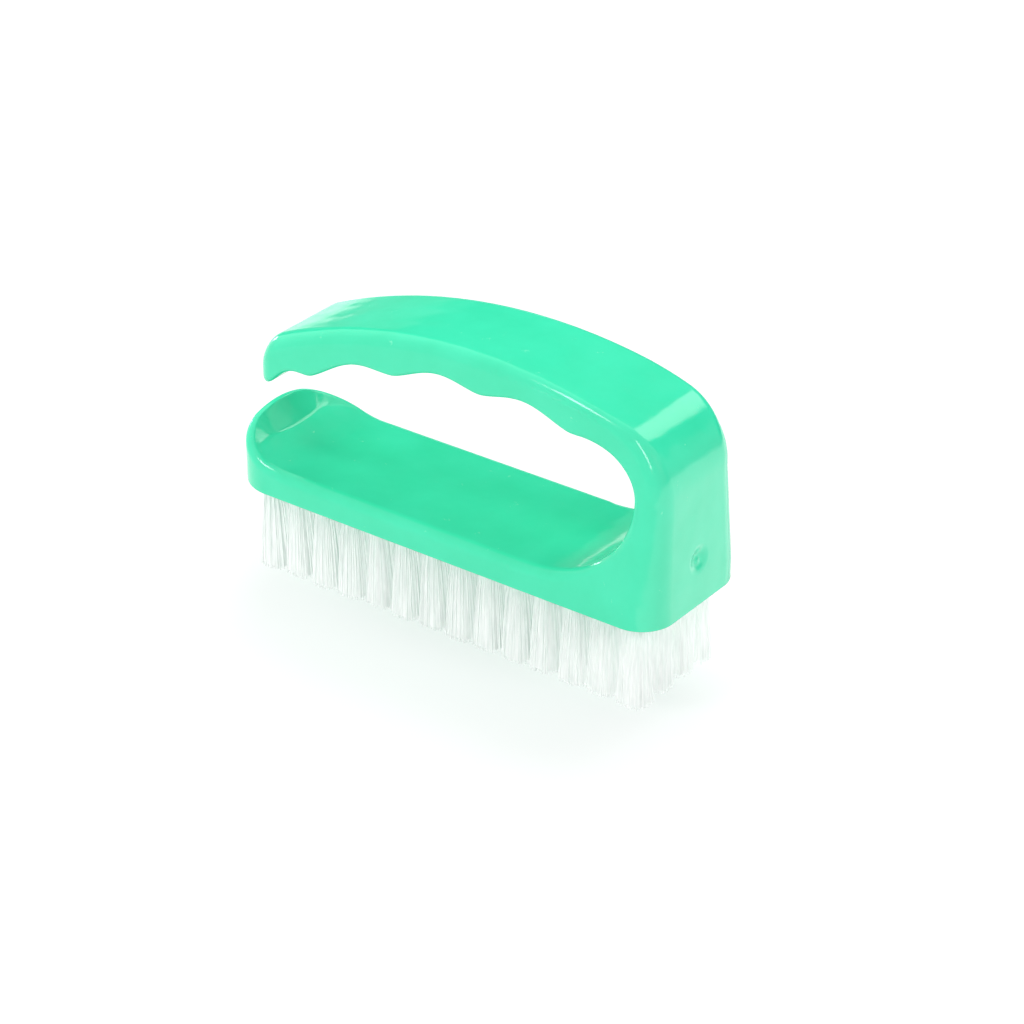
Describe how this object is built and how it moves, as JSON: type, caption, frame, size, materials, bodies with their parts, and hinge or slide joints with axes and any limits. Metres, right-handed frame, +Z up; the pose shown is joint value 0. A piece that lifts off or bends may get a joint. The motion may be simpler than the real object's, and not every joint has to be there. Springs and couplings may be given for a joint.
{
  "type": "nail brush",
  "caption": "Nail brush: moulded plastic block with a raised lip at one end, an open loop handle with finger grooves, and tufts of nylon bristles held by wire anchors.",
  "frame": {"origin": "on the plane of the bristle tips, under the middle of the block", "axes": "+X along the block towards the post of the handle, +Y across the block, +Z up from the bristle tips to the handle"},
  "size_m": [0.09, 0.0276, 0.0543],
  "materials": {
    "mint_plastic": "glossy moulded polypropylene, mint green",
    "white_nylon": "drawn nylon filament, white, slightly translucent",
    "anchor_wire": "bare flat wire"
  },
  "bodies": {
    "root": {"moulded_body": "mint_plastic", "tufts_rows_1_2": "white_nylon", "tufts_rows_3_4": "white_nylon", "anchor_r1_c01": "anchor_wire", "anchor_r1_c02": "anchor_wire", "anchor_r1_c03": "anchor_wire", "anchor_r1_c04": "anchor_wire", "anchor_r1_c05": "anchor_wire", "anchor_r1_c06": "anchor_wire", "anchor_r1_c07": "anchor_wire", "anchor_r1_c08": "anchor_wire", "anchor_r1_c09": "anchor_wire", "anchor_r1_c10": "anchor_wire", "anchor_r1_c11": "anchor_wire", "anchor_r1_c12": "anchor_wire", "anchor_r1_c13": "anchor_wire", "anchor_r1_c14": "anchor_wire", "anchor_r2_c01": "anchor_wire", "anchor_r2_c02": "anchor_wire", "anchor_r2_c03": "anchor_wire", "anchor_r2_c04": "anchor_wire", "anchor_r2_c05": "anchor_wire", "anchor_r2_c06": "anchor_wire", "anchor_r2_c07": "anchor_wire", "anchor_r2_c08": "anchor_wire", "anchor_r2_c09": "anchor_wire", "anchor_r2_c10": "anchor_wire", "anchor_r2_c11": "anchor_wire", "anchor_r2_c12": "anchor_wire", "anchor_r2_c13": "anchor_wire", "anchor_r2_c14": "anchor_wire", "anchor_r3_c01": "anchor_wire", "anchor_r3_c02": "anchor_wire", "anchor_r3_c03": "anchor_wire", "anchor_r3_c04": "anchor_wire", "anchor_r3_c05": "anchor_wire", "anchor_r3_c06": "anchor_wire", "anchor_r3_c07": "anchor_wire", "anchor_r3_c08": "anchor_wire", "anchor_r3_c09": "anchor_wire", "anchor_r3_c10": "anchor_wire", "anchor_r3_c11": "anchor_wire", "anchor_r3_c12": "anchor_wire", "anchor_r3_c13": "anchor_wire", "anchor_r3_c14": "anchor_wire", "anchor_r4_c01": "anchor_wire", "anchor_r4_c02": "anchor_wire", "anchor_r4_c03": "anchor_wire", "anchor_r4_c04": "anchor_wire", "anchor_r4_c05": "anchor_wire", "anchor_r4_c06": "anchor_wire", "anchor_r4_c07": "anchor_wire", "anchor_r4_c08": "anchor_wire", "anchor_r4_c09": "anchor_wire", "anchor_r4_c10": "anchor_wire", "anchor_r4_c11": "anchor_wire", "anchor_r4_c12": "anchor_wire", "anchor_r4_c13": "anchor_wire", "anchor_r4_c14": "anchor_wire"}
  },
  "joints": []
}
